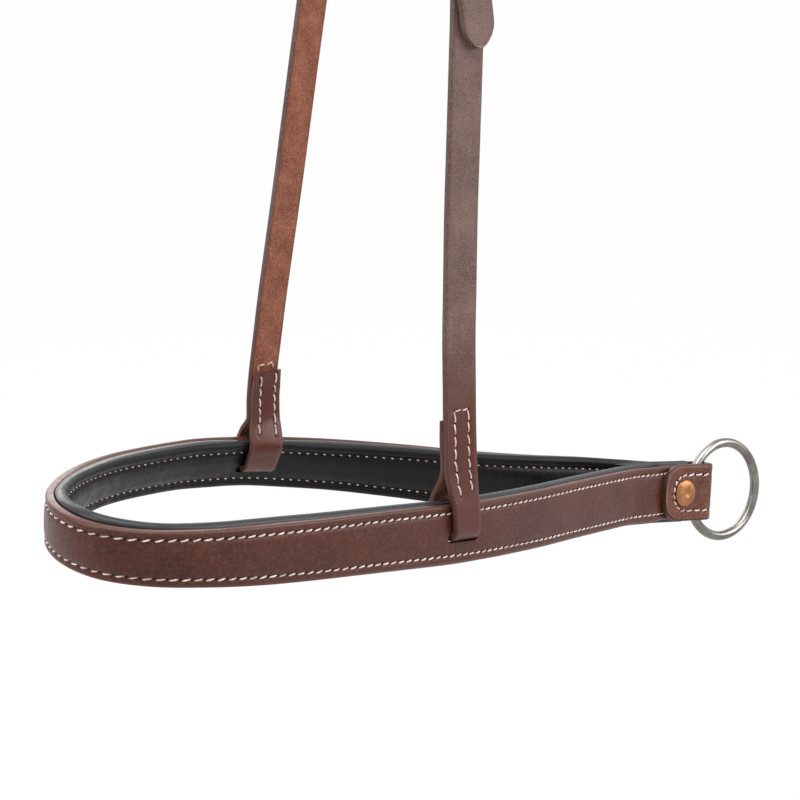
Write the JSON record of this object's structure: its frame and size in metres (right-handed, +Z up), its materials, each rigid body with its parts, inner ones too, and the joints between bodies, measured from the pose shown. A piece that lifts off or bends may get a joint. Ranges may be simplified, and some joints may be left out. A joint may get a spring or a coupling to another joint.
{
  "type": "noseband",
  "caption": "Padded leather nose loop with a riveted ring tab, hung from a buckled strap over the poll.",
  "frame": {"origin": "middle of the flat underside of the crown, where the strap rests over the poll", "axes": "+Z up, +X towards the ring, -X towards the nose, -Y the near side with the buckle, +Y the off side"},
  "size_m": [0.4176, 0.1453, 0.5433],
  "materials": {
    "nose_strap": "waxed brown bridle leather",
    "nose_lining": "smooth black lining leather",
    "nose_pad_core": "felted padding",
    "cheek_strap": "waxed brown bridle leather",
    "crown_strap": "waxed brown bridle leather",
    "buckle_frame": "satin",
    "buckle_tongue": "satin",
    "fixed_keeper": "waxed brown bridle leather",
    "sliding_keeper": "waxed brown bridle leather",
    "ring_tab": "waxed brown bridle leather",
    "rivet": "hammered copper",
    "rivet_burr": "copper",
    "tie_ring": "satin"
  },
  "bodies": {
    "headpiece": {"cheek_strap": "cheek_strap", "crown_strap": "crown_strap", "buckle_frame": "buckle_frame", "fixed_keeper": "fixed_keeper"},
    "nose_band": {"nose_strap": "nose_strap", "nose_lining": "nose_lining", "nose_pad_core": "nose_pad_core", "ring_tab": "ring_tab", "rivet": "rivet", "rivet_burr": "rivet_burr"},
    "tie_ring": {"tie_ring": "tie_ring"},
    "sliding_keeper": {"sliding_keeper": "sliding_keeper"},
    "buckle_tongue": {"buckle_tongue": "buckle_tongue"}
  },
  "joints": [
    {"name": "nose_hinge", "type": "hinge", "parent": "headpiece", "child": "nose_band", "pos_m": [-0.03053, 0.00393, -0.46989], "axis": [-0.24, 0.9694, 0.0523], "range_deg": [-5, 5]},
    {"name": "ring_swing", "type": "hinge", "parent": "nose_band", "child": "tie_ring", "pos_m": [0.17385, 0, -0.51068], "axis": [0.1811, 0.1563, 0.971], "range_deg": [-20, 20]},
    {"name": "keeper_slide", "type": "slide", "parent": "headpiece", "child": "sliding_keeper", "axis": [0.0015, 0.0513, 0.9987], "range_m": [-0.016, 0.016]},
    {"name": "tongue_lift", "type": "hinge", "parent": "headpiece", "child": "buckle_tongue", "pos_m": [-0.00013, -0.03017, -0.15677], "axis": [1, -0.0001, -0.0015], "range_deg": [0, 5]}
  ]
}
